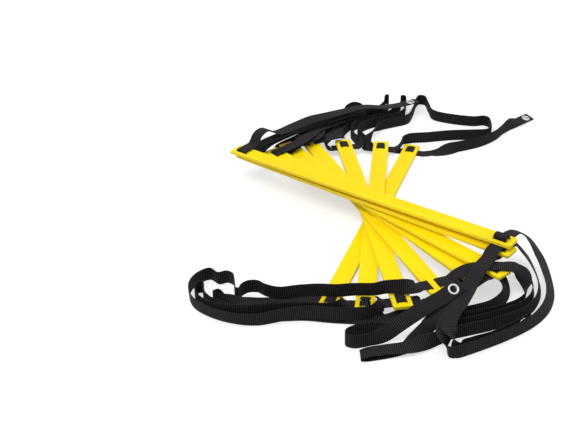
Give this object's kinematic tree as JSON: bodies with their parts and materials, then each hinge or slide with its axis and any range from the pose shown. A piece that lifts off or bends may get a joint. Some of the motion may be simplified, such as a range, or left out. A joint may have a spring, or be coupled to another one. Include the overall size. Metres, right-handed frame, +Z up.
{
  "type": "agility ladder",
  "caption": "Agility ladder gathered up: flat slats stacked and fanned about one crossing, joined by two webbing straps that lie in loose loops, with a metal eyelet in each strap end",
  "frame": {"origin": "on the ground under the middle of the slats' and threaded webbing's outline", "axes": "+Z up, the stack's thin way; +Y the long way of the slats' outline, towards the far strap; +X to the right"},
  "size_m": [0.5506, 0.7771, 0.0707],
  "materials": {
    "slat": "moulded yellow plastic, satin, softly scuffed",
    "webbing": "black woven webbing with fine cross ribs",
    "eyelet": "plain nickel-plated steel, slightly worn"
  },
  "bodies": {
    "slat_1": {"rung_1": "slat", "near_thread_1": "webbing", "far_thread_1": "webbing", "near_span_1_2": "webbing", "far_span_1_2": "webbing", "near_tail_1": "webbing", "far_tail_1": "webbing", "near_eyelet_1": "eyelet", "near_eyelet_1_washer": "eyelet", "far_eyelet_1": "eyelet", "far_eyelet_1_washer": "eyelet"},
    "slat_2": {"rung_2": "slat", "near_thread_2": "webbing", "far_thread_2": "webbing", "near_span_2_3": "webbing", "far_span_2_3": "webbing"},
    "slat_3": {"rung_3": "slat", "near_thread_3": "webbing", "far_thread_3": "webbing", "near_span_3_4": "webbing", "far_span_3_4": "webbing"},
    "slat_4": {"rung_4": "slat", "near_thread_4": "webbing", "far_thread_4": "webbing", "near_span_4_5": "webbing", "far_span_4_5": "webbing"},
    "slat_5": {"rung_5": "slat", "near_thread_5": "webbing", "far_thread_5": "webbing", "near_span_5_6": "webbing", "far_span_5_6": "webbing"},
    "slat_6": {"rung_6": "slat", "near_thread_6": "webbing", "far_thread_6": "webbing", "near_span_6_7": "webbing", "far_span_6_7": "webbing"},
    "slat_7": {"rung_7": "slat", "near_thread_7": "webbing", "far_thread_7": "webbing", "near_span_7_8": "webbing", "far_span_7_8": "webbing"},
    "slat_8": {"rung_8": "slat", "near_thread_8": "webbing", "far_thread_8": "webbing", "near_tail_8": "webbing", "far_tail_8": "webbing", "near_eyelet_8": "eyelet", "near_eyelet_8_washer": "eyelet", "far_eyelet_8": "eyelet", "far_eyelet_8_washer": "eyelet"}
  },
  "joints": [
    {"name": "fan_1_2", "type": "hinge", "parent": "slat_1", "child": "slat_2", "pos_m": [0.015, -0.009, 0.02], "axis": [0, 0, 1], "range_deg": [-3, 8], "deforming": ["near_span_1_2", "far_span_1_2", "near_tail_1"]},
    {"name": "fan_2_3", "type": "hinge", "parent": "slat_2", "child": "slat_3", "pos_m": [0.015, -0.009, 0.02], "axis": [0, 0, 1], "range_deg": [-3, 8], "deforming": ["near_span_2_3", "far_span_2_3"]},
    {"name": "fan_3_4", "type": "hinge", "parent": "slat_3", "child": "slat_4", "pos_m": [0.015, -0.009, 0.02], "axis": [0, 0, 1], "range_deg": [-3, 8], "deforming": ["near_span_3_4", "far_span_3_4"]},
    {"name": "fan_4_5", "type": "hinge", "parent": "slat_4", "child": "slat_5", "pos_m": [0.015, -0.009, 0.02], "axis": [0, 0, 1], "range_deg": [-2.5, 8], "deforming": ["near_span_4_5", "far_span_4_5"]},
    {"name": "fan_5_6", "type": "hinge", "parent": "slat_5", "child": "slat_6", "pos_m": [0.015, -0.009, 0.02], "axis": [0, 0, 1], "range_deg": [-1.5, 8], "deforming": ["near_span_5_6", "far_span_5_6"]},
    {"name": "fan_6_7", "type": "hinge", "parent": "slat_6", "child": "slat_7", "pos_m": [0.015, -0.009, 0.02], "axis": [0, 0, 1], "range_deg": [-3, 8], "deforming": ["near_span_6_7", "far_span_6_7"]},
    {"name": "fan_7_8", "type": "hinge", "parent": "slat_7", "child": "slat_8", "pos_m": [0.015, -0.009, 0.02], "axis": [0, 0, 1], "range_deg": [-2, 8], "deforming": ["near_span_7_8", "far_span_7_8", "near_tail_8", "far_tail_8"]}
  ]
}
